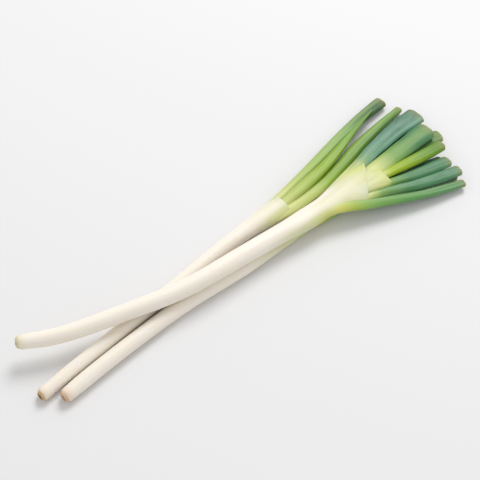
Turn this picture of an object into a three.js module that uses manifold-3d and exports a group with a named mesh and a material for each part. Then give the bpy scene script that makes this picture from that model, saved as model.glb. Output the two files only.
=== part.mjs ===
// A bunch of three welsh onions lying loosely together on a flat surface.
// Millimetres, +Z up. The roots point along -X and the trimmed leaves along +X. Two onions lie
// side by side on the surface and the third, the largest, lies across them. The origin is the
// centre of the bunch's box, at the height of the surface.
import * as THREE from 'three';
import { mergeVertices } from 'three/addons/utils/BufferGeometryUtils.js';
import Module from 'manifold-3d';

// Driving dimensions
const GAP = 0.35;              // clear space between neighbouring pieces
const FLAT_DEPTH = 0.4;        // how far a shaft's own weight presses it flat where it rests
const COURSE_STEP = 12;        // between the points of a centreline
const COURSE_EASE = 18;        // a course's bends are eased over this far to either side
const SHAFT_SIDES = 16;
const SHAFT_STEPS = 22;
const SHAFT_END_ROUNDING = 0.88;
const FLARE_PAST_END = 1 / 3;  // a neck's flare would run on this far, as a share of the flare
const LEAF_SIDES = 12;
const LEAF_STEPS = 13;
const LEAF_BASE_HALF = 4;      // half size of a leaf at its base, inside the neck
const LEAF_FILLING_OUT = 75;   // how far from its base a leaf reaches its full size
const LEAF_HALF_HEIGHT = 5.2;
const LEAF_TIP_HALF_HEIGHT = 4.2;
const LEAF_HOLLOW_DEPTH = 0.1; // how far the hollow reaches in from a cut end, as a share of the leaf
const LEAF_HOLLOW_SIZE = 0.6;  // the hollow's width and height, as a share of the leaf's
const ROOT_PLATE_THICKNESS = 4;
const ROOT_PLATE_SIZE = 0.82;  // radius, as a share of the shaft's
const SEAM_TOLERANCE = 1e-4;   // points of one seam are closer together than this

const UP = new THREE.Vector3(0, 0, 1);

// A course says how a shaft or a leaf runs. Each row is a distance along it, its heading there in
// degrees from +X towards +Y, and the height of its centreline. Headings change evenly from row to
// row, so each stretch is an arc. A shaft with no heights lies on the surface.
const HEADING = 1;
const HEIGHT = 2;

// A shaft thickens from its root radius to its neck radius, sooner where its growth is below 1. Its neck
// spreads over the mouth's flare to the mouth's half width, and comes over the flattening to its half
// height.

// The leaves are listed from the oldest. They start leafDepth before the neck's end, each younger one
// leafSpacing further on, on the two sides in turn, leafSpread from the middle and closing in.
const TOP_ONION = {
  name: 'top_onion',
  root: [-288, 14],
  course: [
    [0, -32, 30], [60, -12, 29], [160, -11, 29], [235, 2, 28], [290, 1, 25], [350, -1, 22.5], [400, 3, 22],
    [450, 7, 22.5],
  ],
  rootRadius: 9.2,
  neckRadius: 13,
  growth: 1,
  mouth: { halfWidth: 23.5, flare: 130, halfHeight: 8.2, flattening: 230 },
  leafDepth: 76,
  leafSpacing: 8,
  leafSpread: 10,
  leaves: [
    { course: [[0, -3, 21], [50, -15, 21], [95, -22, 18], [200, -10, 7]], width: 8.5, tipWidth: 5.5 },
    { course: [[0, 7, 22], [70, 11, 24], [115, 17, 23], [210, 6, 13]], width: 11, tipWidth: 11.5 },
    { course: [[0, 0, 23], [45, -17, 24], [95, -18, 22], [185, -6, 13]], width: 8, tipWidth: 7 },
    { course: [[0, 2, 24], [50, 1, 26], [90, 8, 25], [186, 8, 14]], width: 12, tipWidth: 12.5 },
    { course: [[0, 0, 24], [40, -15, 26], [163, -4, 14]], width: 8, tipWidth: 9 },
    { course: [[0, 0, 25], [45, -8, 27], [164, 2, 18]], width: 7.5, tipWidth: 8.5 },
  ],
};

const FAR_ONION = {
  name: 'far_onion',
  root: [-297, -45.5],
  course: [[0, 10], [110, 8], [220, 10], [375, 5]],
  rootRadius: 7.8,
  neckRadius: 10.5,
  growth: 0.8,
  mouth: { halfWidth: 15.5, flare: 60, halfHeight: 9.8, flattening: 60 },
  leafDepth: 44,
  leafSpacing: 4,
  leafSpread: 6,
  leaves: [
    { course: [[0, -2, 11], [60, 3, 11], [150, 19, 9], [258, 11, 6]], width: 8, tipWidth: 5 },
    { course: [[0, 11, 11], [150, 18, 9], [246, 8, 6.5]], width: 7.5, tipWidth: 7 },
    {
      course: [[0, 4, 12], [60, 8, 16], [140, 23, 17], [213, 18, 14.5]],
      width: 9.5,
      tipWidth: 1,
      pointed: true,
    },
  ],
};

const NEAR_ONION = {
  name: 'near_onion',
  root: [-277, -62],
  course: [[0, 10], [130, 6], [225, -1], [260, 4], [320, 8], [405, 10]],
  rootRadius: 9.1,
  neckRadius: 10,
  growth: 1,
  mouth: { halfWidth: 16, flare: 110, halfHeight: 5.8, flattening: 190 },
  leafDepth: 50,
  leafSpacing: 5,
  leafSpread: 8,
  leaves: [
    { course: [[0, 6, 6], [60, -3, 6], [110, -23, 5.5], [205, -19, 4.5]], width: 8, tipWidth: 7 },
    { course: [[0, 8, 6], [60, 12, 6], [200, 3, 4.5]], width: 9, tipWidth: 7.5 },
    { course: [[0, 4, 6.5], [60, -2, 6.5], [105, -14, 6], [190, -11, 4.5]], width: 8, tipWidth: 7.5 },
    { course: [[0, 7, 6.5], [60, 5, 6.5], [120, -1, 6], [209, -5, 4.5]], width: 8.5, tipWidth: 9 },
  ],
};

const FINISH = {
  shaft: { color: '#f4f0e2', roughness: 0.42, metalness: 0 },
  leaf: { color: '#6f9f63', roughness: 0.5, metalness: 0 },
  rootPlate: { color: '#c09468', roughness: 0.85, metalness: 0 },
};

const wasm = await Module();
wasm.setup();

// A closed manifold solid from a closed geometry whose seams are still open.
function toSolid(geometry) {
  const bare = geometry.clone();
  bare.deleteAttribute('normal');
  bare.deleteAttribute('uv');
  const merged = mergeVertices(bare, SEAM_TOLERANCE);
  const corners = [];
  for (let i = 0; i < merged.index.count; i += 3) {
    const [a, b, c] = merged.index.array.slice(i, i + 3);
    if (a !== b && b !== c && c !== a) {
      corners.push(a, b, c);
    }
  }
  return new wasm.Manifold(new wasm.Mesh({
    numProp: 3,
    vertProperties: Float32Array.from(merged.attributes.position.array),
    triVerts: Uint32Array.from(corners),
  }));
}

function toGeometry(solid) {
  const { vertProperties, triVerts, numProp } = solid.getMesh();
  const geometry = new THREE.BufferGeometry();
  geometry.setAttribute('position', new THREE.BufferAttribute(vertProperties, numProp));
  geometry.setIndex(new THREE.BufferAttribute(triVerts, 1));
  geometry.computeVertexNormals();
  return geometry;
}

// Cutting can leave a loose sliver beside the piece. Only the largest part is kept.
function largestPart(solid) {
  const parts = solid.decompose();
  return parts.reduce((best, part) => (part.volume() > best.volume() ? part : best));
}

// The unit outline that is turned round the centreline: share of the half size, share of the length.
function wallOutline(steps) {
  return Array.from({ length: steps + 1 }, (_, i) => new THREE.Vector2(1, i / steps));
}

function shaftOutline() {
  const wall = wallOutline(SHAFT_STEPS);
  wall[0].x = SHAFT_END_ROUNDING;
  return [new THREE.Vector2(0, 0), ...wall, new THREE.Vector2(0, 1)];
}

function closedLeafOutline() {
  return [new THREE.Vector2(0, 0), ...wallOutline(LEAF_STEPS), new THREE.Vector2(0, 1)];
}

function cutLeafOutline() {
  const bottom = 1 - LEAF_HOLLOW_DEPTH;
  return [
    new THREE.Vector2(0, 0),
    ...wallOutline(LEAF_STEPS),
    new THREE.Vector2(LEAF_HOLLOW_SIZE, 1),
    new THREE.Vector2(LEAF_HOLLOW_SIZE, bottom),
    new THREE.Vector2(0, bottom),
  ];
}

// A column of a course at this distance. Beyond either end it keeps the end's value.
function courseValue(course, column, distance) {
  const within = THREE.MathUtils.clamp(distance, 0, course.at(-1)[0]);
  const next = Math.max(1, course.findIndex(([place]) => place >= within));
  const [from, to] = [course[next - 1], course[next]];
  return THREE.MathUtils.mapLinear(within, from[0], to[0], from[column], to[column]);
}

function easedValue(course, column, distance) {
  const around = [-1, -0.5, 0, 0.5, 1].map((k) => courseValue(course, column, distance + k * COURSE_EASE));
  return around.reduce((sum, value) => sum + value) / around.length;
}

// The centreline that starts above a point of the surface and follows a course.
function followCourse(startX, startY, course, heightAt) {
  const length = course.at(-1)[0];
  const steps = Math.round(length / COURSE_STEP);
  const step = length / steps;
  const points = [new THREE.Vector3(startX, startY, heightAt(0))];
  for (let i = 1; i <= steps; i += 1) {
    const heading = THREE.MathUtils.degToRad(easedValue(course, HEADING, (i - 0.5) * step));
    const { x, y } = points.at(-1);
    points.push(new THREE.Vector3(
      x + Math.cos(heading) * step,
      y + Math.sin(heading) * step,
      heightAt(i * step),
    ));
  }
  return new THREE.CatmullRomCurve3(points);
}

// How far a neck has opened at this distance from its end, as a share of its mouth's opening. It opens
// over the flare, and would go on opening past its end.
function openingAt(fromEnd, flare) {
  const opening = (place) => THREE.MathUtils.smoothstep(place, -flare, flare * FLARE_PAST_END);
  return opening(fromEnd) / opening(0);
}

// A limb is a centreline with its length and the half width and half height along it.
function shaftLimb(onion) {
  const { course, rootRadius, neckRadius, growth, mouth } = onion;
  const length = course.at(-1)[0];
  const halfSizes = (distance) => {
    const round = THREE.MathUtils.lerp(rootRadius, neckRadius, (distance / length) ** growth);
    return [
      THREE.MathUtils.lerp(round, mouth.halfWidth, openingAt(distance - length, mouth.flare)),
      THREE.MathUtils.lerp(round, mouth.halfHeight, openingAt(distance - length, mouth.flattening)),
    ];
  };
  const lies = course[0][HEIGHT] === undefined;
  const heightAt = (distance) => (
    lies ? halfSizes(distance)[1] - FLAT_DEPTH : easedValue(course, HEIGHT, distance)
  );
  return { centre: followCourse(...onion.root, course, heightAt), length, halfSizes };
}

function leafLimb(onion, shaft, leaf, number) {
  const depth = onion.leafDepth - number * onion.leafSpacing;
  const along = 1 - depth / shaft.length;
  const side = (number % 2 ? 1 : -1) * onion.leafSpread * (1 - number / onion.leaves.length);
  const across = new THREE.Vector3().crossVectors(UP, shaft.centre.getTangent(along)).normalize();
  const base = shaft.centre.getPoint(along).addScaledVector(across, side);
  const length = leaf.course.at(-1)[0];
  const halfSizes = (distance) => {
    const share = distance / length;
    const filled = THREE.MathUtils.smoothstep(distance, -LEAF_FILLING_OUT / 2, LEAF_FILLING_OUT);
    const tipHeight = leaf.pointed ? leaf.tipWidth : LEAF_TIP_HALF_HEIGHT;
    // a cut leaf tapers evenly, and a pointed one keeps its width and then narrows faster
    const taper = leaf.pointed ? share ** 2 : share;
    return [
      THREE.MathUtils.lerp(LEAF_BASE_HALF, THREE.MathUtils.lerp(leaf.width, leaf.tipWidth, taper), filled),
      THREE.MathUtils.lerp(LEAF_BASE_HALF, THREE.MathUtils.lerp(LEAF_HALF_HEIGHT, tipHeight, taper), filled),
    ];
  };
  const heightAt = (distance) => easedValue(leaf.course, HEIGHT, distance);
  return { centre: followCourse(base.x, base.y, leaf.course, heightAt), length, halfSizes };
}

// A tube of oval sections along a limb. Below the surface it is pressed flat, because an onion's own
// weight gives it a narrow flat where it rests. A grown tube is larger all round by the growth, and
// is used to cut the clear space for the real one.
function tube(limb, outline, sides, growth = 0) {
  const geometry = new THREE.LatheGeometry(outline, sides, Math.PI / sides);
  const position = geometry.attributes.position;
  const point = new THREE.Vector3();
  for (let i = 0; i < position.count; i += 1) {
    const along = THREE.MathUtils.clamp(position.getY(i), 0, 1);
    const tangent = limb.centre.getTangent(along);
    const across = new THREE.Vector3().crossVectors(tangent, UP).normalize();
    const upward = new THREE.Vector3().crossVectors(across, tangent);
    const [halfWidth, halfHeight] = limb.halfSizes(along * limb.length);
    limb.centre.getPoint(along, point);
    point.addScaledVector(tangent, growth * (2 * along - 1));
    point.addScaledVector(across, position.getX(i) * (halfWidth + growth));
    point.addScaledVector(upward, position.getZ(i) * (halfHeight + growth));
    position.setXYZ(i, point.x, point.y, Math.max(point.z, -growth));
  }
  return toSolid(geometry);
}

function shaftPiece(onion, shaft) {
  return {
    name: `${onion.name}_shaft`,
    finish: FINISH.shaft,
    solid: tube(shaft, shaftOutline(), SHAFT_SIDES),
    grown: tube(shaft, shaftOutline(), SHAFT_SIDES, GAP),
  };
}

function leafPieces(onion, shaft) {
  return onion.leaves.map((leaf, number) => {
    const limb = leafLimb(onion, shaft, leaf, number);
    return {
      name: `${onion.name}_leaf_${number + 1}`,
      finish: FINISH.leaf,
      solid: tube(limb, leaf.pointed ? closedLeafOutline() : cutLeafOutline(), LEAF_SIDES),
      grown: tube(limb, closedLeafOutline(), LEAF_SIDES, GAP),
    };
  });
}

function onionPieces(onion) {
  const shaft = shaftLimb(onion);
  return [shaftPiece(onion, shaft), ...leafPieces(onion, shaft)];
}

// The root plate is a low dome on the shaft's end, where the trimmed roots were.
function rootPlateMesh(onion) {
  const { centre } = shaftLimb(onion);
  const outward = centre.getTangent(0).negate();
  const radius = onion.rootRadius * ROOT_PLATE_SIZE;
  const dome = [[0, 0], [1, 0], [0.98, 0.35], [0.82, 0.72], [0.5, 0.94], [0, 1]];
  const geometry = new THREE.LatheGeometry(
    dome.map(([r, h]) => new THREE.Vector2(r * radius, h * ROOT_PLATE_THICKNESS)),
    SHAFT_SIDES,
  );
  const plate = new THREE.Mesh(
    toGeometry(toSolid(geometry)),
    new THREE.MeshStandardMaterial(FINISH.rootPlate),
  );
  plate.name = `${onion.name}_root_plate`;
  plate.position.copy(centre.getPoint(0)).addScaledVector(outward, GAP);
  plate.quaternion.setFromUnitVectors(new THREE.Vector3(0, 1, 0), outward);
  return plate;
}

// A shaft comes first and then its leaves, the oldest first. Each later piece makes room for the
// ones before it, so a leaf starts where it leaves the neck.
function addPieces(bunch, onions) {
  const pieces = onions.flatMap(onionPieces);
  pieces.forEach((piece, i) => {
    const cut = pieces.slice(0, i).reduce((solid, earlier) => solid.subtract(earlier.grown), piece.solid);
    const mesh = new THREE.Mesh(
      toGeometry(largestPart(cut)),
      new THREE.MeshStandardMaterial(piece.finish),
    );
    mesh.name = piece.name;
    bunch.add(mesh);
  });
}

const onions = [TOP_ONION, FAR_ONION, NEAR_ONION];
const bunch = new THREE.Group();
addPieces(bunch, onions);
bunch.add(...onions.map(rootPlateMesh));

// The origin goes to the bottom centre of the bunch's box.
const box = new THREE.Box3().setFromObject(bunch);
const middle = box.getCenter(new THREE.Vector3());
bunch.position.set(-middle.x, -middle.y, -box.min.z);

export default bunch;
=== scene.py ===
"""A bunch of three welsh onions in Blender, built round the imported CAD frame.

Each shaft and leaf takes its centreline and size from slices through its CAD node. The shafts end
in thin sheath mouths that wrap the bases of the younger leaves, the cut leaves are hollow tubes
with dried rims, and the root plates carry trimmed root stubs. Lengths are metres, except in the
tables of the onions and their leaves, which give millimetres.
"""
import math

import bpy
import numpy as np
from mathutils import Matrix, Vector
from mathutils.bvhtree import BVHTree


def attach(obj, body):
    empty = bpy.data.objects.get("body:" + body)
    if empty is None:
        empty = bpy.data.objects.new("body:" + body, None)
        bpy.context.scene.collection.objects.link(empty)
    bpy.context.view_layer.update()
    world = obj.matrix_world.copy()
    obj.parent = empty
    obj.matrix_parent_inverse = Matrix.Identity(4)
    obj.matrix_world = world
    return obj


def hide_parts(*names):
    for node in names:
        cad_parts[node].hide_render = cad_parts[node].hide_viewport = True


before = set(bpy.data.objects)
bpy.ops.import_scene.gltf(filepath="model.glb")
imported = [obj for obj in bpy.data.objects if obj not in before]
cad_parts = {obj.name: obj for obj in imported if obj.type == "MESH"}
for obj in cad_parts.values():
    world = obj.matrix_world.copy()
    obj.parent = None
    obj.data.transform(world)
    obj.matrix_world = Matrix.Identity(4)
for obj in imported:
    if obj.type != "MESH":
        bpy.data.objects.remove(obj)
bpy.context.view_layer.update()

MM = 0.001
UP = np.array([0.0, 0.0, 1.0])
TURN = 2 * math.pi

# Fineness
STEP = 1.5 * MM               # between rings of a shaft or a leaf
SHAFT_SIDES = 96
LEAF_SIDES = 56

# Skins
LEAF_WALL = 0.9 * MM
LEAF_HOLLOW = 32 * MM         # how far in from a cut end the hollow can be seen
LEAF_SQUARENESS = 2.15        # power of a leaf's outline, where 2 is a plain oval
SHEATH_WALL = 0.7 * MM
SHEATH_INSIDE_MM = (0.6, 16)  # where the inside of a mouth starts and ends, back from its rim
SHEATH_THICKENING = 0.02      # millimetres of wall for each squared millimetre back from the rim
MOST_INSET = 0.6              # a wall takes up at most this share of its sheath's radius
SHEATH_CLEARANCE = 0.4 * MM   # a sheath stands this far off the leaves that it wraps
LET_GO_DEPTH = 7 * MM         # how far a sheath sinks under a leaf that it lets go
LEAF_BASE = 76 * MM           # how far a leaf reaches down inside its neck
ONION_GAP = 0.2 * MM          # between a shaft and the onions that press on it

# Reading the CAD
SLICE_STEP = 6 * MM           # between slices, and from an end to the first slice
WHOLE_SLICE = 0.93            # a slice of a CAD leaf at least this full is not cut by a neighbour

# Root plates
PLATE_SIDES = 48
PLATE_SHARE = 0.83            # of the shaft's half width
STUBS = 26
STUB_SIDES = 10
GOLDEN_ANGLE = 2.39996        # between one stub and the next, so that they spread evenly


# ------------------------ numbers and curves


def unit(v):
    return v / np.linalg.norm(v, axis=-1, keepdims=True)


def smoothstep(low, high, x):
    t = np.clip((x - low) / (high - low), 0, 1)
    return t * t * (3 - 2 * t)


def wobble(x, seed, waves=4):
    """A smooth random curve of x, about -1 to 1, made of a few sine waves."""
    draw = np.random.default_rng(seed)
    total = np.zeros_like(np.asarray(x, float))
    for k in range(1, waves + 1):
        total = total + draw.uniform(0.5, 1) / k * np.sin(k * x + draw.uniform(0, TURN))
    return total / 1.6


def bell(reach, width):
    """Gaussian weights from -reach to reach, which add up to 1."""
    weights = np.exp(-0.5 * (np.arange(-reach, reach + 1) / width) ** 2)
    return weights / weights.sum()


def blur(values, width):
    """Gaussian blur down the first axis. The ends keep their place and slope."""
    reach = min(int(3 * width), len(values) - 1)
    before = 2 * values[0] - values[reach:0:-1]
    after = 2 * values[-1] - values[-2 : -reach - 2 : -1]
    padded = np.concatenate([before, values, after])
    flat = padded.reshape(len(padded), -1)
    kernel = bell(reach, width)
    out = np.stack([np.convolve(column, kernel, "valid") for column in flat.T], 1)
    return out.reshape(values.shape)


def table(points):
    """The columns of a short table of numbers."""
    return np.array(points, float).T


class Stalk:
    """A centreline with the half width and half height of what grows along it."""

    def __init__(self, centre, half):
        length = np.linalg.norm(np.diff(centre, axis=0), axis=1)
        place = np.concatenate([[0], np.cumsum(length)])
        self.length = place[-1]
        self.s = np.linspace(0, self.length, max(8, round(self.length / MM)))
        self.centre = np.stack([np.interp(self.s, place, centre[:, i]) for i in range(3)], 1)
        self.half = np.stack([np.interp(self.s, place, half[:, i]) for i in range(2)], 1)
        self.centre = blur(self.centre, 7)
        self.half = blur(self.half, 7)
        self.tangent = unit(np.gradient(self.centre, self.s, axis=0))

    def at(self, s):
        """centre, tangent, across, upward, half at these lengths; straight on past either end."""
        s = np.asarray(s, float)
        centre, tangent = (
            np.stack([np.interp(s, self.s, a[:, i]) for i in range(3)], -1)
            for a in (self.centre, self.tangent)
        )
        tangent = unit(tangent)
        past = s - np.clip(s, 0, self.length)
        centre = centre + tangent * past[..., None]
        half = np.stack([np.interp(s, self.s, self.half[:, i]) for i in range(2)], -1)
        across = unit(np.cross(tangent, UP))
        upward = np.cross(across, tangent)
        return centre, tangent, across, upward, half


# ------------------------ reading the CAD frame


def triangles_of(node):
    """Corners of a CAD node's triangles, (count, 3, 3)."""
    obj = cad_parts[node]
    mesh = obj.data
    mesh.calc_loop_triangles()
    points = np.empty(len(mesh.vertices) * 3)
    mesh.vertices.foreach_get("co", points)
    points = points.reshape(-1, 3)
    matrix = np.array(obj.matrix_world)
    points = points @ matrix[:3, :3].T + matrix[:3, 3]
    corners = np.empty(len(mesh.loop_triangles) * 3, int)
    mesh.loop_triangles.foreach_get("vertices", corners)
    return points[corners.reshape(-1, 3)]


def slice_points(triangles, point, normal):
    """Points where a plane cuts the edges of the triangles."""
    height = (triangles - point) @ normal
    found = []
    for a, b in ((0, 1), (1, 2), (2, 0)):
        crosses = height[:, a] * height[:, b] < 0
        share = height[crosses, a] / (height[crosses, a] - height[crosses, b])
        start, end = triangles[crosses, a], triangles[crosses, b]
        found.append(start + (end - start) * share[:, None])
    return np.concatenate(found)


def measure(triangles, point, tangent):
    """Centre, half sizes and fullness of the slice: fullness is 1 for a whole oval."""
    across = unit(np.cross(tangent, UP))
    upward = np.cross(across, tangent)
    cut = slice_points(triangles, point, tangent) - point
    x, y = cut @ across, cut @ upward
    half = np.array([np.ptp(x), np.ptp(y)]) / 2
    middle = np.array([x.max() + x.min(), y.max() + y.min()]) / 2
    # how far it reaches against an oval of its size, in the direction where it falls shortest
    angle = np.arange(16) * TURN / 16
    cos, sin = np.cos(angle), np.sin(angle)
    reach = (np.outer(cos, x - middle[0]) + np.outer(sin, y - middle[1])).max(1)
    fullness = (reach / np.hypot(half[0] * cos, half[1] * sin)).min()
    return point + across * middle[0] + upward * middle[1], half, fullness


def read_stalk(node, least_fullness=0.0):
    """The Stalk through a CAD node that runs along X. Slices less full than asked are left out."""
    triangles = triangles_of(node)
    low, high = triangles[..., 0].min(), triangles[..., 0].max()
    count = max(6, round((high - low) / SLICE_STEP))
    places = np.linspace(low + SLICE_STEP, high - SLICE_STEP, count)
    first = []
    for x in places:
        cut = slice_points(triangles, np.array([x, 0, 0]), np.array([1.0, 0, 0]))
        first.append((cut.max(0) + cut.min(0)) / 2)
    first = np.array(first)
    tangents = unit(np.gradient(blur(first, 1.0), axis=0))
    rows = [measure(triangles, p, t) for p, t in zip(first, tangents)]
    centre = np.array([r[0] for r in rows])
    half = np.array([r[1] for r in rows])
    fullness = np.array([r[2] for r in rows])
    # a leaf's base may be cut by its neighbours, and only its whole slices give its size
    whole = fullness >= least_fullness
    centre, half, tangents = centre[whole], half[whole], tangents[whole]
    # carry it on to both end faces
    corners = triangles.reshape(-1, 3)
    ends = []
    for i, sign in ((0, -1), (-1, 1)):
        out = tangents[i] * sign
        ends.append(centre[i] + out * ((corners - centre[i]) @ out).max())
    if least_fullness > 0:
        return Stalk(np.vstack([centre, ends[1]]), np.vstack([half, half[-1:]]))
    return Stalk(np.vstack([ends[0], centre, ends[1]]), np.vstack([half[:1], half, half[-1:]]))


# ------------------------ meshes


def add_object(name, data):
    """A new object in the scene."""
    new = bpy.data.objects.new(name, data)
    bpy.context.scene.collection.objects.link(new)
    return new


class Skin:
    """Rings of points joined into one mesh, with the values that its material reads."""

    def __init__(self):
        self.points, self.faces, self.values = [], [], []
        self.count = 0

    def add_rings(self, rings, values):
        """Joins rings, (rings, sides, 3), into a closed skin.

        values is name -> (rings, sides) or (rings, sides, 3).
        """
        total, sides = rings.shape[:2]
        index = self.count + np.arange(total * sides).reshape(total, sides)
        after = np.roll(index, -1, axis=1)
        quads = np.stack([index[:-1], after[:-1], after[1:], index[1:]], -1)
        self.faces += quads.reshape(-1, 4).tolist()
        self.points.append(rings.reshape(-1, 3))
        self.values.append({k: v.reshape(total * sides, -1) for k, v in values.items()})
        self.count += total * sides
        for row, flip in ((0, True), (-1, False)):
            self.add_cap(rings[row], {k: v[row] for k, v in values.items()}, index[row], flip)

    def add_cap(self, ring, values, index, flip):
        """Closes a ring with a fan round its middle."""
        self.points.append(ring.mean(0)[None])
        self.values.append({k: v.reshape(len(ring), -1).mean(0)[None] for k, v in values.items()})
        middle = self.count
        self.count += 1
        for a, b in zip(index, np.roll(index, -1)):
            self.faces.append([int(b), int(a), middle] if flip else [int(a), int(b), middle])

    def build(self, name, material):
        mesh = bpy.data.meshes.new(name)
        mesh.from_pydata(np.concatenate(self.points).tolist(), [], self.faces)
        for key in self.values[0]:
            data = np.concatenate([v[key] for v in self.values])
            kind = "FLOAT_VECTOR" if data.shape[1] == 3 else "FLOAT"
            attribute = mesh.attributes.new(key, kind, "POINT")
            field = "vector" if kind == "FLOAT_VECTOR" else "value"
            attribute.data.foreach_set(field, data.ravel())
        mesh.materials.append(material)
        mesh.shade_smooth()
        mesh.update()
        return add_object(name, mesh)


def straightened(s, ring_x, ring_y):
    """Coordinates of a skin as if its stalk were straight, so that grain follows the growth."""
    along = np.broadcast_to(s[:, None], ring_x.shape)
    return np.stack([ring_x, ring_y, along], -1)


# ------------------------ leaves


def nested_leaf(shaft, free, number, count, look):
    """The whole leaf: its free part from the CAD, carried down inside the neck to its base.

    The bases lie on the two flanks in turn, and the younger ones nearer the middle and thinner.
    """
    start, tangent, _, _, half = free.at(0.0)
    mouth, along, *_ = shaft.at(shaft.length)
    outer = number <= 2
    outward, size = look["foot"] or (1 - (number - 1) / count, 0.6 if outer else 0.5)
    base_half = half * size
    centre, base_tangent, base_across, _, shaft_half = shaft.at(shaft.length - LEAF_BASE)
    share = outward if number % 2 else -outward
    base = centre + base_across * share * (shaft_half[0] - base_half[0])
    span = LEAF_BASE + max((start - mouth) @ along, 0)
    t = np.linspace(0, 1, 24)[:-1, None]
    from_base, base_pull = 2 * t**3 - 3 * t**2 + 1, t**3 - 2 * t**2 + t
    to_start, start_pull = 3 * t**2 - 2 * t**3, (t**3 - t**2) * (1.0 if outer else 1.5)
    pull = base_pull * base_tangent + start_pull * tangent
    curve = from_base * base + to_start * start + span * pull
    curve[:, 2:] += look["lift"] * MM * np.sin(np.pi * t)
    size = base_half + (half - base_half) * smoothstep(0.0 if outer else 0.4, 1, t)
    own = free.at(free.s)
    tip = own[0][-1] + own[1][-1] * look["longer"] * MM
    leaf = Stalk(np.vstack([curve, own[0], tip]), np.vstack([size, own[4], own[4][-1]]))
    # how far past the mouth of its neck each point of the leaf is
    leaf.beyond = (leaf.centre - mouth) @ along
    slim = 1 - look["slim"] * (1 - smoothstep(10 * MM, 90 * MM, leaf.beyond))
    place, high, low = table(look["edges"]) * MM
    high, low = (
        blur(np.interp(leaf.beyond, place, edge)[:, None], 1.0)[:, 0] for edge in (high, low)
    )
    leaf.centre = leaf.centre + leaf.at(leaf.s)[2] * ((low - high) / 2)[:, None]
    leaf.half[:, 0] = leaf.half[:, 0] * slim + (low + high) / 2
    return leaf


def oval(phi, power):
    """Unit oval outline. A power above 2 makes it squarer than an ellipse."""
    c, s = np.cos(phi), np.sin(phi)
    return np.sign(c) * np.abs(c) ** (2 / power), np.sign(s) * np.abs(s) ** (2 / power)


def leaf_section(leaf, s, phi, seed, inset):
    """Outline across and upward, in metres, at each length s: (rings, sides) twice."""
    half = leaf.at(s)[4]
    s = s[:, None]
    x, y = oval(phi, LEAF_SQUARENESS)
    older = smoothstep(0.4, 1.0, s / leaf.length)
    # a cut end has settled together a little
    settled = 1 - 0.25 * np.exp(-(((leaf.length - s) / (18 * MM)) ** 2))
    wide = half[:, :1] - inset
    high = half[:, 1:] * settled - inset
    x = wide * x * (1 + 0.02 * wobble(s * 60, seed))
    y = high * y * (1 + 0.05 * wobble(s * 45, seed + 1))
    # an older stretch is slack: its upper side sinks a little along the middle
    sink = np.exp(-(((x / wide - 0.15 * wobble(s * 30, seed + 2)) / 0.45) ** 2)) * older
    y = y - high * sink * np.where(y > 0, 0.26, -0.10)
    # shallow flutes
    flute = 1 + 0.014 * np.sin(7 * phi + 2 * wobble(s * 20, seed + 3))
    return x * flute, y * flute


def cut_edge(phi, look, seed):
    """How far the cut end falls short of the leaf's length, rounded at both sides. Below 0."""
    side = np.cos(phi)
    corner = look["bow"] * np.abs(side) ** 2.4
    ragged = 0.25 * (1 + wobble(phi * 3, seed, 7))
    return -(corner + look["slant"] * (1 - side) / 2 + ragged) * MM


def leaf_rings(leaf, s, phi, look, seed, inset):
    centre, tangent, across, upward, _ = leaf.at(s)
    x, y = leaf_section(leaf, s, phi, seed, inset)
    roll = 0.12 * wobble(s * 18, seed + 4)[:, None]
    x, y = x * np.cos(roll) - y * np.sin(roll), x * np.sin(roll) + y * np.cos(roll)
    rings = centre[:, None] + x[..., None] * across[:, None] + y[..., None] * upward[:, None]
    near_cut = smoothstep(leaf.length - 14 * MM, leaf.length, s)[:, None]
    rings = rings + (near_cut * cut_edge(phi, look, seed + 5))[..., None] * tangent[:, None]
    return rings, x, y


def greened(look, beyond):
    """How green a leaf is this many millimetres beyond its neck's mouth."""
    return np.interp(beyond, *table(look["greening"]))


def leaf_values(leaf, s, x, y, phi, look, inner):
    tones = greened(look, np.interp(s, leaf.s, leaf.beyond) / MM)
    return {
        "tone": np.broadcast_to(tones[:, None], x.shape),
        "side": np.broadcast_to(np.cos(phi), x.shape),
        "lift": np.broadcast_to(np.sin(phi), x.shape),
        "to_end": np.broadcast_to((leaf.length - s)[:, None] / MM, x.shape),
        "inner": np.full_like(x, inner),
        "grain": straightened(s, x, y),
    }


def cut_leaf(skin, leaf, look, seed):
    """An open tube with a wall: outside, rim and the inside as far as it can be seen."""
    phi = np.arange(LEAF_SIDES) * TURN / LEAF_SIDES
    end = leaf.length
    outside = np.linspace(0, end - 1.2 * MM, round(end / STEP))
    outside = np.append(outside, [end - 0.5 * MM, end - 0.1 * MM])
    stretches = [
        (outside, 0.0, 0.0),
        (np.array([end]), 0.45 * LEAF_WALL, 0.5),
        (np.array([end - 0.1 * MM]), 0.9 * LEAF_WALL, 0.5),
        (np.linspace(end - 1 * MM, end - LEAF_HOLLOW, 16), LEAF_WALL, 1.0),
    ]
    rings, values = [], []
    for s, inset, inner in stretches:
        ring, x, y = leaf_rings(leaf, s, phi, look, seed, inset)
        rings.append(ring)
        values.append(leaf_values(leaf, s, x, y, phi, look, inner))
    joined = {key: np.concatenate([value[key] for value in values]) for key in values[0]}
    skin.add_rings(np.concatenate(rings), joined)


def pointed_leaf(skin, leaf, look, seed):
    """A leaf that keeps its own point."""
    phi = np.arange(LEAF_SIDES) * TURN / LEAF_SIDES
    s = np.linspace(0, leaf.length, round(leaf.length / STEP))
    rings, x, y = leaf_rings(leaf, s, phi, look, seed, 0.0)
    # the last stretch closes to the point
    close = np.sqrt(np.clip((leaf.length - s) / (9 * MM), 0.0004, 1))[:, None, None]
    centre = leaf.at(s)[0][:, None]
    rings = centre + (rings - centre) * close
    skin.add_rings(rings, leaf_values(leaf, s, x, y, phi, look, 0.0))


# ------------------------ sheaths

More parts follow.
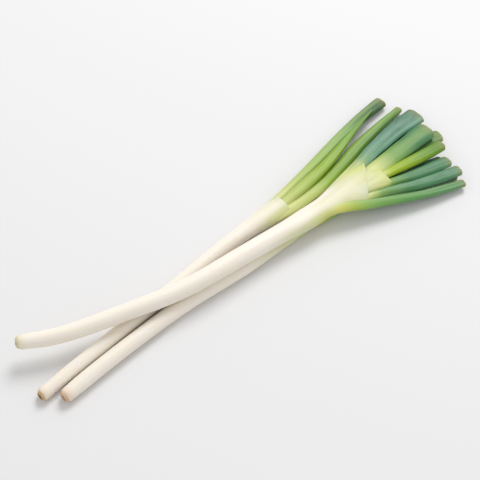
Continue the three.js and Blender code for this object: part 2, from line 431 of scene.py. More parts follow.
# Directions round a neck in which the reach of its sheath is worked out
THETA = np.arange(72) * TURN / 72
FACING = np.stack([np.cos(THETA), np.sin(THETA)], 1)


def leaf_ovals(shaft, leaves, s):
    """Where the leaves cross planes square to the neck: centres, half sizes and which exist."""
    centre, tangent, across, upward, _ = shaft.at(s)
    rows = np.arange(len(s))
    places, sizes, there = [], [], []
    for leaf in leaves:
        ahead = np.einsum("kj,mj->km", tangent, leaf.centre)
        ahead = ahead - np.sum(tangent * centre, 1)[:, None]
        first = (ahead > 0).argmax(1)
        i = np.clip(first, 1, len(leaf.s) - 1)
        share = -ahead[rows, i - 1] / (ahead[rows, i] - ahead[rows, i - 1])
        point = leaf.centre[i - 1] + (leaf.centre[i] - leaf.centre[i - 1]) * share[:, None]
        away = point - centre
        places.append(np.stack([np.sum(away * across, 1), np.sum(away * upward, 1)], 1))
        lean = np.clip(np.sum(leaf.tangent[i] * tangent, 1), 0.75, 1)
        sizes.append(leaf.half[i] / np.stack([lean, np.ones_like(lean)], 1))
        there.append((first > 0) & (ahead.max(1) > 0))
    return places, sizes, there


def oval_reach(half):
    """How far ovals of these half sizes reach in each direction, (rings, directions)."""
    return np.hypot(half[:, :1] * FACING[:, 0], half[:, 1:] * FACING[:, 1])


def hug(shaft, leaves, s, let_go):
    """How far a sheath drawn round the leaves reaches in each direction, (rings, directions).

    let_go is the stretch beyond the mouth over which it sinks under each leaf's own skin, or None
    for a leaf that it keeps inside.
    """
    beyond = (s - shaft.length) / MM
    reaches = []
    for place, size, there, stretch in zip(*leaf_ovals(shaft, leaves, s), let_go):
        reach = place @ FACING.T + oval_reach(size) + SHEATH_CLEARANCE
        if stretch:
            reach = reach - LET_GO_DEPTH * smoothstep(*stretch, beyond)[:, None] ** 1.6
        reaches.append(np.where(there[:, None], reach, -1.0))
    return np.max(reaches, 0)


class Outline:
    """The outline of a skin round a shaft: its middle and its radius in each direction phi."""

    def __init__(self, s, reach, phi, ease):
        reach = blur(reach, ease)
        quarter = len(THETA) // 4
        self.s = s
        across = (reach[:, 0] - reach[:, 2 * quarter]) / 2
        upward = (reach[:, quarter] - reach[:, 3 * quarter]) / 2
        self.middle = np.stack([across, upward], 1)
        about = reach - self.middle @ FACING.T
        lean = np.cos(phi[:, None] - THETA[None, :])
        limits = about[:, None, :] / np.maximum(lean, 0.05)[None]
        radius = np.where(lean[None] > 0.05, limits, 1.0).min(2)
        self.radius = self.blurred_round(radius, 2.0)

    @staticmethod
    def blurred_round(radius, width):
        reach = int(3 * width)
        wrapped = np.concatenate([radius[:, -reach:], radius, radius[:, :reach]], 1)
        return np.stack([np.convolve(row, bell(reach, width), "valid") for row in wrapped])

    def at(self, s, phi, inset):
        """Across and upward places at lengths s, (rings, sides)."""
        sides = range(len(phi))
        radius = np.stack([np.interp(s[:, j], self.s, self.radius[:, j]) for j in sides], 1)
        radius = radius - np.minimum(inset, MOST_INSET * radius)
        across, upward = (np.interp(s, self.s, self.middle[:, i]) for i in (0, 1))
        return across + radius * np.cos(phi), upward + radius * np.sin(phi)


def sheath_rows(shaft, outline, phi, start, rim, wall):
    """Rings of a sheath from start to its rim and back down inside, where its wall thickens."""
    stretch = rim - start
    share = np.linspace(0, 1, round(stretch.max() / STEP))[:, None]
    outside = start + stretch * share
    depth = np.linspace(*SHEATH_INSIDE_MM, 12)[:, None]
    inside = rim - depth * MM
    thicker = wall + SHEATH_THICKENING * MM * depth**2
    rows = []
    for s, inset, inner in (
        (outside, 0.0, 0.0),
        (rim[None] + 0.15 * MM, 0.5 * wall, 0.5),
        (rim[None], wall, 0.5),
        (inside, thicker, 1.0),
    ):
        x, y = outline.at(s, phi, inset)
        centre, _, across, upward, _ = shaft.at(s)
        points = centre + x[..., None] * across + y[..., None] * upward
        rows.append((points, s, x, y, np.full_like(x, inner)))
    return [np.concatenate(column) for column in zip(*rows)]


def lateral_share(x):
    """Where each point lies across its ring, from -1 on the high flank to 1 on the low one."""
    return x / np.abs(x).max(1, keepdims=True)


def rim_line(shaft, outline, phi, place, slope, seed):
    """Where a sheath ends in each direction: place beyond the mouth, sloping across it."""
    x, _ = outline.at(np.full((1, len(phi)), shaft.length), phi, 0.0)
    ragged = 0.7 * wobble(phi * 2, seed, 6)
    return shaft.length + (place - slope * lateral_share(x)[0] + ragged) * MM


def search_tree(pieces):
    """One search tree over the skins of these pieces."""
    points, faces = [], []
    for piece in pieces:
        faces += [[len(points) + i for i in polygon.vertices] for polygon in piece.data.polygons]
        points += [vertex.co for vertex in piece.data.vertices]
    return BVHTree.FromPolygons(points, faces)


def press_clear(shaft, outline, phi, others):
    """Presses a shaft in wherever it would run into the onions built before it."""
    tree = search_tree(others)
    centre, _, across, upward, _ = shaft.at(outline.s)
    middle = centre + outline.middle[:, :1] * across + outline.middle[:, 1:] * upward
    for row, start in enumerate(middle):
        directions = np.outer(np.cos(phi), across[row]) + np.outer(np.sin(phi), upward[row])
        for side, direction in enumerate(directions):
            radius = outline.radius[row, side]
            distance = tree.ray_cast(Vector(start), Vector(direction), radius + ONION_GAP)[3]
            if distance is not None:
                outline.radius[row, side] = distance - ONION_GAP


def shaft_tone(onion, beyond, side):
    """Each flank of the neck turns green towards the leaf that grows from it."""
    low, high = (np.interp(beyond, *table(flank)) for flank in onion["flanks"])
    middle = np.interp(beyond, *table(onion["middle"]))
    to_low, to_high = smoothstep(0.2, 0.85, side), smoothstep(0.2, 0.85, -side)
    return middle * (1 - to_low - to_high) + low * to_low + high * to_high


def build_shaft(onion, others):
    """White shaft from its root end to its outer sheath's mouth, pressed clear of the others."""
    shaft, seed = onion["shaft"], onion["seed"]
    phi = np.arange(SHAFT_SIDES) * TURN / SHAFT_SIDES
    s = np.arange(0, shaft.length + 40 * MM, STEP)
    beyond = (s - shaft.length) / MM
    own = oval_reach(shaft.at(s)[4])
    # beside the leaves that it lets go, the neck draws back to the leaves inside it
    low, high = (np.interp(beyond, *table(flank))[:, None] for flank in onion["draw_back"])
    to_low, to_high = smoothstep(0, 1, FACING[:, 0]), smoothstep(0, 1, -FACING[:, 0])
    own = own * (1 - low * to_low - high * to_high)
    let_go = [onion["let_go"].get(number) for number in onion["looks"]]
    reach = np.maximum(own, hug(shaft, onion["leaves"], s, let_go))
    outline = Outline(s, reach, phi, 3.0)
    place = s[:, None]
    outline.radius *= 1 + 0.012 * wobble(place * 40 + phi, seed)
    outline.radius *= 1 + 0.006 * np.sin(5 * phi + 3 * wobble(place * 12, seed + 1))
    # rounded root end
    rounding = np.sqrt(1 - (1 - np.clip(place / (5 * MM), 0, 1)) ** 2)
    flare = onion["root_flare"] * np.exp(-((place / (7 * MM)) ** 2))
    outline.radius *= (0.86 + 0.14 * rounding) * (1 + flare)
    if others:
        press_clear(shaft, outline, phi, others)
    rim = rim_line(shaft, outline, phi, *onion["rim"], seed + 2)
    points, s, x, y, _ = sheath_rows(shaft, outline, phi, 0.0, rim, SHEATH_WALL)
    # it is flat where it rests on the surface
    points[..., 2] = np.maximum(points[..., 2], 0.0)
    side = lateral_share(x)
    skin = Skin()
    skin.add_rings(points, {
        "tone": shaft_tone(onion, (s - shaft.length) / MM, side),
        "side": side,
        "lift": np.broadcast_to(np.sin(phi), x.shape),
        "to_end": (rim - s) / MM,
        "from_root": s / MM,
        "grain": np.stack([x, y, s], -1),
    })
    return skin


def add_collar(skin, onion, collar, look, seed):
    """The sheath at a leaf's foot: a thin tube round younger leaves, one with its blade."""
    shaft = onion["shaft"]
    phi = np.arange(LEAF_SIDES) * TURN / LEAF_SIDES
    s = np.arange(shaft.length - 30 * MM, shaft.length + 60 * MM, STEP)
    wrapped = [onion["leaves"][number - 1] for number in collar["wraps"]]
    reach = hug(shaft, wrapped, s, [collar["let_go"].get(number) for number in collar["wraps"]])
    outline = Outline(s, reach, phi, 2.0)
    rim = rim_line(shaft, outline, phi, *collar["rim"], seed)
    start = shaft.length + collar["start"] * MM
    points, s, x, y, inner = sheath_rows(shaft, outline, phi, start, rim, 0.7 * SHEATH_WALL)
    skin.add_rings(points, {
        "tone": greened(look, (s - shaft.length) / MM),
        "side": np.broadcast_to(np.cos(phi), x.shape),
        "lift": np.broadcast_to(np.sin(phi), x.shape),
        "to_end": np.full_like(x, 200.0),
        "inner": inner * 0.5,
        "grain": np.stack([x, y, s], -1),
    })


# ------------------------ materials


def srgb(code):
    """Linear colour of a hex code."""
    parts = [int(code[i : i + 2], 16) / 255 for i in (1, 3, 5)]
    return [p / 12.92 if p <= 0.04045 else ((p + 0.055) / 1.055) ** 2.4 for p in parts] + [1.0]


class Nodes:
    """Short calls for building one material's node tree."""

    def __init__(self, name):
        self.material = bpy.data.materials.new(name)
        self.material.use_nodes = True
        self.tree = self.material.node_tree
        self.tree.nodes.clear()
        self.output = self.add("ShaderNodeOutputMaterial")
        self.shader = self.add("ShaderNodeBsdfPrincipled")
        self.link(self.shader.outputs["BSDF"], self.output.inputs["Surface"])

    def add(self, kind, **settings):
        node = self.tree.nodes.new(kind)
        for key, value in settings.items():
            setattr(node, key, value)
        return node

    def link(self, source, target):
        self.tree.links.new(source, target)

    def put(self, value, socket):
        if isinstance(value, bpy.types.NodeSocket):
            self.link(value, socket)
        else:
            socket.default_value = value

    def shade(self, socket, value):
        """Sets the shader's own socket, or links it where the value comes from a node."""
        self.put(value, self.shader.inputs[socket])

    def value(self, name):
        return self.add("ShaderNodeAttribute", attribute_name=name).outputs["Fac"]

    def vector(self, name):
        return self.add("ShaderNodeAttribute", attribute_name=name).outputs["Vector"]

    def math(self, operation, a, b=0.0):
        node = self.add("ShaderNodeMath", operation=operation)
        for value, socket in zip((a, b), node.inputs):
            self.put(value, socket)
        return node.outputs[0]

    def times(self, a, b):
        return self.math("MULTIPLY", a, b)

    def varied(self, name, noise, amount):
        """A stored value with noise round it, half the amount each way."""
        offset = self.times(self.math("SUBTRACT", noise, 0.5), amount)
        return self.math("ADD", self.value(name), offset)

    def span(self, x, low, high, to_low=0.0, to_high=1.0):
        """x from low to high becomes to_low to to_high, smoothly and held at the ends."""
        node = self.add("ShaderNodeMapRange", interpolation_type="SMOOTHSTEP")
        for value, socket in zip((x, low, high, to_low, to_high), node.inputs):
            self.put(value, socket)
        return node.outputs[0]

    def noise(self, vector, scale, stretch, detail, roughness=0.5, offset=0.0):
        """Noise on the straightened coordinates, drawn out along the growth by stretch."""
        place = self.add("ShaderNodeMapping")
        place.inputs["Location"].default_value = (offset, offset, offset)
        place.inputs["Scale"].default_value = (scale, scale, scale / stretch)
        self.link(vector, place.inputs["Vector"])
        node = self.add("ShaderNodeTexNoise")
        node.inputs["Scale"].default_value = 1.0
        node.inputs["Detail"].default_value = detail
        node.inputs["Roughness"].default_value = roughness
        self.link(place.outputs[0], node.inputs["Vector"])
        return node.outputs["Fac"]

    def ramp(self, x, stops):
        node = self.add("ShaderNodeValToRGB")
        elements = node.color_ramp.elements
        while len(elements) > 1:
            elements.remove(elements[-1])
        elements[0].position, elements[0].color = stops[0][0], srgb(stops[0][1])
        for position, code in stops[1:]:
            elements.new(position).color = srgb(code)
        self.link(x, node.inputs["Fac"])
        return node.outputs["Color"]

    def mix(self, share, a, b, blend="MIX"):
        """a, with this share of b laid over it."""
        node = self.add("ShaderNodeMix", data_type="RGBA", blend_type=blend)
        self.put(share, node.inputs[0])
        self.put(a, node.inputs[6])
        self.put(b, node.inputs[7])
        return node.outputs[2]

    def bump(self, height, distance, strength):
        node = self.add("ShaderNodeBump")
        node.inputs["Distance"].default_value = distance
        node.inputs["Strength"].default_value = strength
        self.link(height, node.inputs["Height"])
        return node.outputs["Normal"]


# Colours by tone, from the white base of a shaft or a leaf to its green end
BASE = [(0.0, "#f5ede2"), (0.14, "#d8d9b0"), (0.3, "#d0d588")]
SHAFT_STOPS = BASE + [(0.45, "#b5c25c"), (0.7, "#8aa552")]


def shaft_material(name, root_tint):
    """Moist white sheath skin: fine veins along it, greener to the neck, duller at the root, with
    painted shade on its underside and a painted highlight along its rim.
    """
    n = Nodes(name)
    grain = n.vector("grain")
    patches = n.noise(grain, 60, 6, 3)
    tone = n.varied("tone", patches, 0.10)
    colour = n.ramp(tone, SHAFT_STOPS)
    veins = n.noise(grain, 1500, 60, 3, 0.6)
    colour = n.mix(n.span(veins, 0.45, 0.7, 0.0, 0.16), colour, srgb("#e4dfc4"))
    broad = n.noise(grain, 220, 30, 2, 0.5, 7.0)
    colour = n.mix(n.span(broad, 0.5, 0.75, 0.0, 0.20), colour, srgb("#efe7d4"))
    near_root = n.span(n.value("from_root"), 0.0, 12.0, 1.0, 0.0)
    root_patch = n.times(near_root, n.span(patches, 0.2, 0.65, 0.35, 1.0))
    colour = n.mix(n.times(root_patch, 0.65), colour, srgb(root_tint))
    # painted shade: the side facing down is tinted duller and yellower, in patches
    below = n.span(n.value("lift"), 0.1, -0.7)
    under = n.times(below, n.span(broad, 0.35, 0.65, 0.5, 1.0))
    colour = n.mix(n.times(under, 0.4), colour, srgb("#d9c89c"))
    # painted highlight: a pale line along the sheath's rim
    rim = n.span(n.value("to_end"), 0.0, 1.6, 1.0, 0.0)
    colour = n.mix(n.times(rim, 0.15), colour, srgb("#f3f2dc"))
    n.shade("Base Color", colour)
    n.shade("Roughness", n.span(broad, 0.3, 0.7, 0.36, 0.48))
    n.shade("Subsurface Weight", 0.25)
    n.shade("Subsurface Radius", (1.0, 0.8, 0.45))
    n.shade("Subsurface Scale", 0.004)
    n.shade("Specular IOR Level", 0.4)
    height = n.math("ADD", veins, n.times(broad, 1.5))
    n.shade("Normal", n.bump(height, 0.00025, 0.6))
    return n.material


def leaf_material(name, stops, painted_band, bloom):
    """Waxy leaf skin: colour by age along it, lengthwise veins, a lengthwise strip of painted
    highlight or painted shadow on its upper side, bloom and a dried rim.
    """
    n = Nodes(name)
    grain = n.vector("grain")
    patches = n.noise(grain, 70, 7, 3)
    tone = n.varied("tone", patches, 0.16)
    colour = n.ramp(tone, stops)
    # painted light: a lengthwise strip on the leaf's upper side, a highlight where its colour is
    # pale and a shadow line where it is dark
    if painted_band:
        place, width, code, strength = painted_band
        off = n.math("ABSOLUTE", n.math("SUBTRACT", n.value("side"), place))
        on_top = n.span(n.value("lift"), -0.2, 0.3)
        share = n.times(n.span(off, 0.2 * width, width, 1.0, 0.0), on_top)
        share = n.times(share, n.span(n.value("tone"), 0.3, 0.6))
        colour = n.mix(n.times(share, strength), colour, srgb(code))
    veins = n.noise(grain, 1300, 80, 2, 0.55, 3.0)
    vein_depth = n.span(n.value("tone"), 0.1, 0.5, 0.08, 0.3)
    vein_share = n.times(n.span(veins, 0.42, 0.68), vein_depth)
    colour = n.mix(vein_share, colour, n.mix(0.5, colour, srgb("#2f5f3c"), "MULTIPLY"))
    broad = n.noise(grain, 260, 40, 2, 0.5, 11.0)
    colour = n.mix(n.span(broad, 0.5, 0.8, 0.0, 0.14), colour, srgb("#a9c47c"))
    if bloom:
        wax = n.noise(grain, 120, 5, 4, 0.6, 5.0)
        share = n.times(n.span(wax, 0.38, 0.66), bloom)
        share = n.times(share, n.span(n.value("tone"), 0.4, 0.7))
        colour = n.mix(share, colour, srgb("#93b8a6"))
    inside = n.value("inner")
    colour = n.mix(n.times(n.span(inside, 0.5, 1.0), 0.75), colour, srgb("#c6d6a0"))
    tears = n.times(n.noise(grain, 500, 3, 3), -2.6)
    ragged = n.math("ADD", n.value("to_end"), tears)
    dry = n.span(ragged, -1.6, 0.9, 1.0, 0.0)
    fade = n.span(n.value("to_end"), 0.0, 16.0, 0.35, 0.0)
    colour = n.mix(fade, colour, srgb("#8d8a4e"))
    colour = n.mix(n.times(dry, 0.85), colour, srgb("#a58d5c"))
    n.shade("Base Color", colour)
    n.shade("Roughness", n.span(broad, 0.3, 0.7, 0.38, 0.52))
    n.shade("Subsurface Weight", 0.08)
    n.shade("Subsurface Radius", (0.5, 1.0, 0.3))
    n.shade("Subsurface Scale", 0.002)
    n.shade("Specular IOR Level", 0.42)
    height = n.math("ADD", veins, n.times(broad, 1.2))
    n.shade("Normal", n.bump(height, 0.00025, 0.7))
    return n.material


def root_material(name, rim_code, middle_code):
    """Dry fibrous root plate: its rim and its middle differ, and its cracks are browner."""
    n = Nodes(name)
    grain = n.vector("grain")
    fibre = n.noise(grain, 900, 1, 5, 0.65)
    blotch = n.noise(grain, 260, 1, 3, 0.5, 4.0)
    ragged = n.varied("radial", blotch, 0.9)
    colour = n.mix(n.span(ragged, 0.35, 0.8), srgb(middle_code), srgb(rim_code))
    colour = n.mix(n.span(fibre, 0.5, 0.75, 0.0, 0.45), colour, srgb("#8a6440"))
    n.shade("Base Color", colour)
    n.shade("Roughness", 0.85)
    n.shade("Specular IOR Level", 0.25)
    n.shade("Normal", n.bump(n.math("ADD", fibre, blotch), 0.0006, 0.8))
    return n.material


# ------------------------ root plates


# From the plate's hidden edge to its middle: (share of its radius, millimetres into the shaft)
PLATE_PROFILE = [
    (1.0, 1.2), (1.0, -0.2), (0.97, -1.0), (0.9, -1.6), (0.8, -2.0), (0.68, -2.25),
    (0.55, -2.2), (0.42, -2.45), (0.3, -2.5), (0.18, -2.4), (0.08, -2.45),
]
# From a stub's foot to its cut: (share of its length, share of its thickness)
STUB_PROFILE = [(-0.5, 1.05), (0.4, 0.95), (0.85, 0.9), (1.0, 0.72)]


def stub_rings(number, radius, draw):
    """One trimmed root: places across, upward and into the shaft, and its share of the radius."""
    away = radius * math.sqrt((number + 0.5) / STUBS) * 0.86
    angle = number * GOLDEN_ANGLE + draw.uniform(-0.2, 0.2)
    foot = np.array([away * math.cos(angle), away * math.sin(angle)])
    thick = draw.uniform(0.45, 0.75) * MM
    long = draw.uniform(0.7, 1.5) * MM
    lean = foot * draw.uniform(0.05, 0.16)
    base = -2.5 * MM + 1.6 * MM * (away / radius) ** 2
    phi = np.arange(STUB_SIDES) * TURN / STUB_SIDES
    along, width = table(STUB_PROFILE)[..., None]
    x = foot[0] + lean[0] * along + thick * width * np.cos(phi)
    y = foot[1] + lean[1] * along + thick * width * np.sin(phi)
    return x, y, np.broadcast_to(base - long * along, x.shape), np.full_like(x, away / radius)


def build_root_plate(onion):
    """A rough low dome with trimmed root stubs, inside the CAD dome's box."""
    centre, tangent, across, upward, half = (a[0] for a in onion["shaft"].at(np.array([0.0])))
    radius = half[0] * PLATE_SHARE
    seed = onion["seed"]
    phi = np.arange(PLATE_SIDES) * TURN / PLATE_SIDES
    share, depth = table(PLATE_PROFILE)
    ripple = 0.25 * MM * np.array([wobble(phi * (k + 1), seed + k + 1) for k in range(len(share))])
    radii = radius * share[:, None] * (1 + 0.03 * wobble(phi, seed + 20))
    x, y = radii * np.cos(phi), radii * np.sin(phi)
    parts = [(x, y, (depth * MM)[:, None] + ripple, np.broadcast_to(share[:, None], x.shape))]
    draw = np.random.default_rng(seed)
    parts += [stub_rings(number, radius, draw) for number in range(STUBS)]
    skin = Skin()
    for x, y, z, radial in parts:
        rings = centre + x[..., None] * across + y[..., None] * upward + z[..., None] * tangent
        # they point against the shaft's growth, so their order is turned round
        values = {"grain": np.stack([x, y, z], -1)[::-1], "radial": radial[::-1]}
        skin.add_rings(rings[::-1], values)
    return skin


# ------------------------ the onions

# A young leaf stays yellow-green, an old one turns green and then grey-green, and some have the
# blue cast of a waxy bloom.
YOUNG = BASE + [(0.45, "#a3ba12"), (0.75, "#67920a"), (1.0, "#386d00")]
FRESH = BASE + [(0.5, "#93b33a"), (0.75, "#6b9835"), (1.0, "#5d8b48")]
# the last two stops of DARKENING turn the leaf's end nearly black green: painted shade
DARKENING = BASE + [(0.5, "#a0bc5e"), (0.7, "#7da455"), (0.84, "#386431"), (0.93, "#22441f")]
GREEN = BASE + [(0.5, "#76a04c"), (0.75, "#457c49"), (1.0, "#447c57")]
GREYED = BASE + [
    (0.38, "#cecd6c"), (0.46, "#abbd4c"), (0.56, "#83ad56"), (0.72, "#5f9750"), (1.0, "#658d6b"),
]
BLUISH = BASE + [(0.5, "#7fa36d"), (0.7, "#518566"), (1.0, "#3b6b52")]

# How green a leaf is: (millimetres beyond its neck's mouth, tone)
LOW_FLANK = [
    (-150, 0.0), (-116, 0.08), (-82, 0.18), (-64, 0.33), (-40, 0.39), (-20, 0.5), (0, 0.6),
    (20, 0.66), (70, 0.82), (150, 1.0),
]
LOW_FADING = [
    (-150, 0.0), (-116, 0.09), (-82, 0.18), (-64, 0.37), (-44, 0.42), (-26, 0.2), (-8, 0.14),
    (20, 0.16),
]
HIGH_FLANK = [(-40, 0.0), (-12, 0.23), (8, 0.35), (22, 0.42), (40, 0.64), (80, 0.86), (150, 1.0)]
SECOND_LOW = [(-10, 0.22), (4, 0.38), (20, 0.6), (50, 0.8), (120, 1.0)]
SECOND_HIGH = [(0, 0.16), (26, 0.28), (54, 0.45), (90, 0.7), (150, 1.0)]
SECOND_INNER = [(4, 0.2), (26, 0.32), (38, 0.6), (66, 0.85), (120, 1.0)]
INNER = [(10, 0.2), (30, 0.32), (48, 0.5), (90, 0.75), (150, 1.0)]
SLOW_LOW = [
    (-60, 0.0), (-44, 0.1), (-28, 0.24), (0, 0.3), (40, 0.4), (80, 0.62), (150, 0.82), (240, 1.0),
]
SLOW = [(-44, 0.0), (-20, 0.12), (0, 0.28), (30, 0.42), (90, 0.58), (160, 0.8), (240, 1.0)]
SLOW_INNER = [(-20, 0.2), (0, 0.33), (30, 0.43), (90, 0.58), (160, 0.8), (240, 1.0)]
NECK_MIDDLE = [(-90, 0.0), (-50, 0.08), (-8, 0.12), (4, 0.2), (12, 0.26), (30, 0.32)]


def leaf_look(stops, greening, slant=0.0, bow=3.0, painted_light_band=None, bloom=0.0, **form):
    """How a leaf differs from the others, with lengths in millimetres.

    slant and bow are how far the cut falls back across the leaf and at its sides. Its form may
    state: lift, how far its foot rises inside the neck; longer, how much longer its end is; foot,
    how far out the foot lies and its size, as shares of the neck's half width and the leaf's size;
    slim, how much slimmer the leaf starts, as a share of its half width; edges, how far its edges
    on the high flank's side and on the low one's move outward at places beyond the mouth; pointed,
    whether it keeps its own point.
    """
    look = dict(stops=stops, greening=greening, slant=slant, bow=bow, painted_light_band=painted_light_band, bloom=bloom)
    look |= dict(lift=0.0, longer=0.0, foot=None, slim=0.0, edges=[(0, 0, 0)], pointed=False)
    return look | form


def painted_light_band(place, width, colour, strength):
    """A lengthwise strip of painted light on a leaf's upper side: a painted highlight, or a painted
    shadow line where its colour is dark. place and width are shares of the leaf's half width.
    """
    return place, width, colour, strength


# On each onion leaf 1 leaves on the low flank, leaf 2 on the high one, and the rest in turn. Places
# and lengths are millimetres, and places are counted beyond the mouth. The outer sheath:
#   let_go     where it sinks under leaves 1 and 2
#   draw_back  how far the neck draws back beside each, as a share (below 0 it swells)
#   rim        where it ends at the middle, and how much the end slopes
#   flanks     how green it is beside each; middle is how green it is between them
# The root end: root_flare widens it by a share, root_tint dulls its skin, and root_colours are its
# plate's rim and middle. A collar is its owner leaf's sheath round the leaves that it wraps.
ONIONS = {
    "top": dict(
        seed=11,
        looks={
            1: leaf_look(
                GREYED, LOW_FLANK, 2.0, 2.5, painted_light_band(-0.35, 0.7, "#86a974", 0.3),
                lift=3.0, foot=(0.5, 1.0), longer=1.7,
                edges=[(-76, 0, 0), (-40, 1, 0), (-15, 3.5, 0), (0, 5, 0), (25, 4, 0), (55, 0, 0)],
            ),
            2: leaf_look(
                BLUISH, HIGH_FLANK, 1.0, 3.5, painted_light_band(0.66, 0.32, "#7fae93", 0.55), 0.3, slim=0.16,
                edges=[
                    (0, 0, 0), (25, 1.5, -2), (45, 3, -3.5), (65, 2.5, -3), (100, 5, -2.5),
                    (125, 5, -1),
                ],
            ),
            3: leaf_look(
                GREEN, SECOND_LOW, 1.0, 3.0, None, 0.2, longer=3.0,
                edges=[
                    (-30, 0, 0), (0, 0, -2), (30, 0, -2), (50, 0, -0.5), (90, 2, 0), (130, 2, 0),
                ],
            ),
            4: leaf_look(
                GREEN, SECOND_HIGH, 1.0, 4.0, painted_light_band(-0.05, 0.7, "#7ba151", 0.65),
                edges=[(0, 0, 0), (90, 1, 0), (110, 3, -1)],
            ),
            5: leaf_look(
                GREEN, SECOND_INNER, 1.0, 3.5, None, 0.08, slim=0.18, longer=4.0,
                edges=[(0, 0, 0), (20, -1.5, 0), (50, -1.5, 0), (90, 0, 0)],
            ),
            6: leaf_look(YOUNG, INNER, 0.5, 4.0, slim=0.24, longer=1.0),
        },
        let_go={1: (-50, -24), 2: (2, 34)},
        draw_back=(
            [(-80, 0.0), (-42, 0.40), (-14, 0.34), (0, 0.15)],
            [(-84, 0.0), (-54, 0.15), (-24, 0.08), (0, 0.0), (24, 0.2)],
        ),
        rim=(12.5, 19.5),
        flanks=(LOW_FADING, HIGH_FLANK),
        root_flare=0.0,
        middle=NECK_MIDDLE,
        root_tint="#dcd2a6",
        root_colours=("#dcd6ae", "#b9b87a"),
        collars=[
            dict(owner=4, wraps=(4, 5, 6), let_go={4: (12, 44)}, start=-24, rim=(33.0, 1.0)),
        ],
    ),
    "far": dict(
        seed=23,
        looks={
            1: leaf_look(
                FRESH, SLOW_LOW, 1.0, 2.0, painted_light_band(-0.4, 0.6, "#94b040", 0.4), foot=(1.0, 0.9),
                edges=[
                    (-76, 0, 0), (-40, 0, 2), (-10, 0, 4), (45, 1, 4), (80, 3, 1.5), (120, 4.5, 0),
                    (200, 0, 0),
                ],
            ),
            2: leaf_look(
                DARKENING, SLOW, 1.0, 2.5, painted_light_band(-0.55, 0.5, "#a9bf78", 0.4), slim=0.1,
                edges=[(110, 0, 0), (150, 0, 1.5), (190, 0, 3)],
            ),
            3: leaf_look(
                # its strip is a painted shadow line along its edge
                FRESH, SLOW_INNER, painted_light_band=painted_light_band(0.95, 0.25, "#6f8c22", 0.6), slim=0.1,
                longer=6.0, pointed=True,
            ),
        },
        let_go={1: (-34, 0), 2: (-28, -2)},
        draw_back=(
            [(-100, 0.0), (-60, -0.12), (-33, -0.38), (-10, -0.28), (20, 0.0)],
            [(-34, 0.0), (-8, 0.22), (0, 0.25)],
        ),
        flanks=(SLOW_LOW, SLOW),
        rim=(-6.0, 0.0),
        root_flare=0.16,
        middle=[(-90, 0.0), (-40, 0.03), (-15, 0.06), (0, 0.14)],
        root_tint="#e0c4a0",
        root_colours=("#dbb98a", "#6f6f42"),
        collars=[],
    ),
    "near": dict(
        seed=37,
        looks={
            1: leaf_look(GREYED, LOW_FLANK, 1.0, foot=(0.8, 0.6)),
            2: leaf_look(BLUISH, HIGH_FLANK, 1.0, 3.0, None, 0.2),
            3: leaf_look(GREEN, SECOND_LOW, edges=[(40, 0, 0), (70, 3, 0), (130, 3, 0)]),
            4: leaf_look(FRESH, INNER, edges=[(0, 0, 0), (80, 2.5, 0)]),
        },
        let_go={1: (-54, -20), 2: (-8, 20)},
        draw_back=([(-60, 0.0), (-28, 0.32), (0, 0.15)], [(0, 0.0), (20, 0.2)]),
        rim=(8.0, 9.0),
        flanks=(LOW_FLANK, HIGH_FLANK),
        root_flare=0.0,
        middle=NECK_MIDDLE,
        root_tint="#e6bd98",
        root_colours=("#e0c1a5", "#c8a688"),
        collars=[dict(owner=4, wraps=(3, 4), let_go={3: (4, 30)}, start=-20, rim=(22.0, -4.0))],
    ),
}


def finish_piece(piece, node):
    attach(piece, "root")
    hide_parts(node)
    return piece


def build_leaf(onion, number, name):
    """The mesh of one leaf, with the collar that it owns, if any."""
    look, leaf = onion["looks"][number], onion["leaves"][number - 1]
    seed = onion["seed"] + 7 * number
    skin = Skin()
    if look["pointed"]:
        pointed_leaf(skin, leaf, look, seed)
    else:
        cut_leaf(skin, leaf, look, seed)
    for collar in onion["collars"]:
        if collar["owner"] == number:
            add_collar(skin, onion, collar, look, seed + 3)
    material = leaf_material(f"{name}_skin", look["stops"], look["painted_light_band"], look["bloom"])
    return skin.build(name, material)


def build_onion(name, onion, others):
    """Builds every piece of one onion and returns them. The others are those already built."""
    looks = onion["looks"]
    shaft = onion["shaft"] = read_stalk(f"{name}_onion_shaft")
    onion["leaves"] = []
    for number, look in looks.items():
        free = read_stalk(f"{name}_onion_leaf_{number}", least_fullness=WHOLE_SLICE)
        onion["leaves"].append(nested_leaf(shaft, free, number, len(looks), look))
    sheath_skin = shaft_material(f"{name}_shaft_skin", onion["root_tint"])
    piece = build_shaft(onion, others).build(f"{name}_shaft", sheath_skin)
    pieces = [finish_piece(piece, f"{name}_onion_shaft")]
    for number in looks:
        piece = build_leaf(onion, number, f"{name}_leaf_{number}")
        pieces.append(finish_piece(piece, f"{name}_onion_leaf_{number}"))
    fibre = root_material(f"{name}_root_fibre", *onion["root_colours"])
    piece = build_root_plate(onion).build(f"{name}_root_plate", fibre)
    pieces.append(finish_piece(piece, f"{name}_onion_root_plate"))
    return pieces


# ------------------------ camera, floor and light

HEADING = math.radians(-35)   # the camera looks across the bunch from its near left
LOOK_DOWN = math.radians(57)
LENS_MM = 85
SENSOR_MM = 36
VIEW_WIDTH = 0.577            # width of what the camera sees at the point that it aims at
AIM = Vector((0.0015, 0.012, 0.0))
FLOOR_HALF = 6
FLOOR_DROP = 0.0002           # keeps the floor clear of the faces that rest on it
# The key light from the aim: how far behind, beside and above it, then its width and its watts
KEY_BEHIND, KEY_BESIDE, KEY_ABOVE = 1.9, 0.75, 2.6
KEY_SIZE, KEY_POWER = 1.6, 59


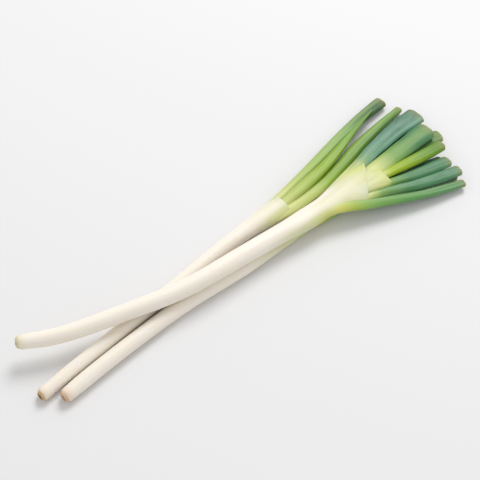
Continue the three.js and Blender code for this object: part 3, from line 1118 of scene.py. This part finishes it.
def add_camera():
    level = Vector((math.sin(HEADING), -math.cos(HEADING), 0)) * math.cos(LOOK_DOWN)
    away = level + Vector((0, 0, math.sin(LOOK_DOWN)))
    data = bpy.data.cameras.new("camera")
    data.lens = LENS_MM
    data.sensor_width = SENSOR_MM
    data.clip_start = 0.01
    camera = add_object("camera", data)
    camera.location = AIM + away * VIEW_WIDTH * LENS_MM / SENSOR_MM
    camera.rotation_euler = (-away).to_track_quat("-Z", "Y").to_euler()
    bpy.context.scene.camera = camera


def add_key_light():
    """A soft light high up behind the bunch, so that its shadows fall towards the camera."""
    behind = Vector((-math.sin(HEADING), math.cos(HEADING), 0))
    beside = Vector((math.cos(HEADING), math.sin(HEADING), 0))
    data = bpy.data.lights.new("key", "AREA")
    data.shape = "DISK"
    data.size = KEY_SIZE
    data.energy = KEY_POWER
    light = add_object("key", data)
    light.location = AIM + behind * KEY_BEHIND + beside * KEY_BESIDE + Vector((0, 0, KEY_ABOVE))
    light.rotation_euler = (AIM - light.location).to_track_quat("-Z", "Y").to_euler()


def add_surroundings():
    """A plain pale floor under even studio light."""
    n = Nodes("floor_paint")
    n.shade("Base Color", (0.80, 0.80, 0.81, 1))
    n.shade("Roughness", 0.9)
    n.shade("Specular IOR Level", 0.1)
    mesh = bpy.data.meshes.new("floor")
    square = [(-1, -1), (1, -1), (1, 1), (-1, 1)]
    corners = [(x * FLOOR_HALF, y * FLOOR_HALF, 0) for x, y in square]
    mesh.from_pydata(corners, [], [(0, 1, 2, 3)])
    mesh.materials.append(n.material)
    floor = add_object("floor", mesh)
    floor.location.z = -FLOOR_DROP
    world = bpy.data.worlds.new("studio")
    world.use_nodes = True
    background = world.node_tree.nodes["Background"]
    background.inputs["Color"].default_value = (1.0, 0.995, 0.985, 1)
    background.inputs["Strength"].default_value = 0.70
    bpy.context.scene.world = world
    bpy.context.scene.view_settings.view_transform = "Standard"
    add_key_light()


built = []
for onion_name, onion_parts in ONIONS.items():
    built += build_onion(onion_name, onion_parts, built)
add_surroundings()
add_camera()
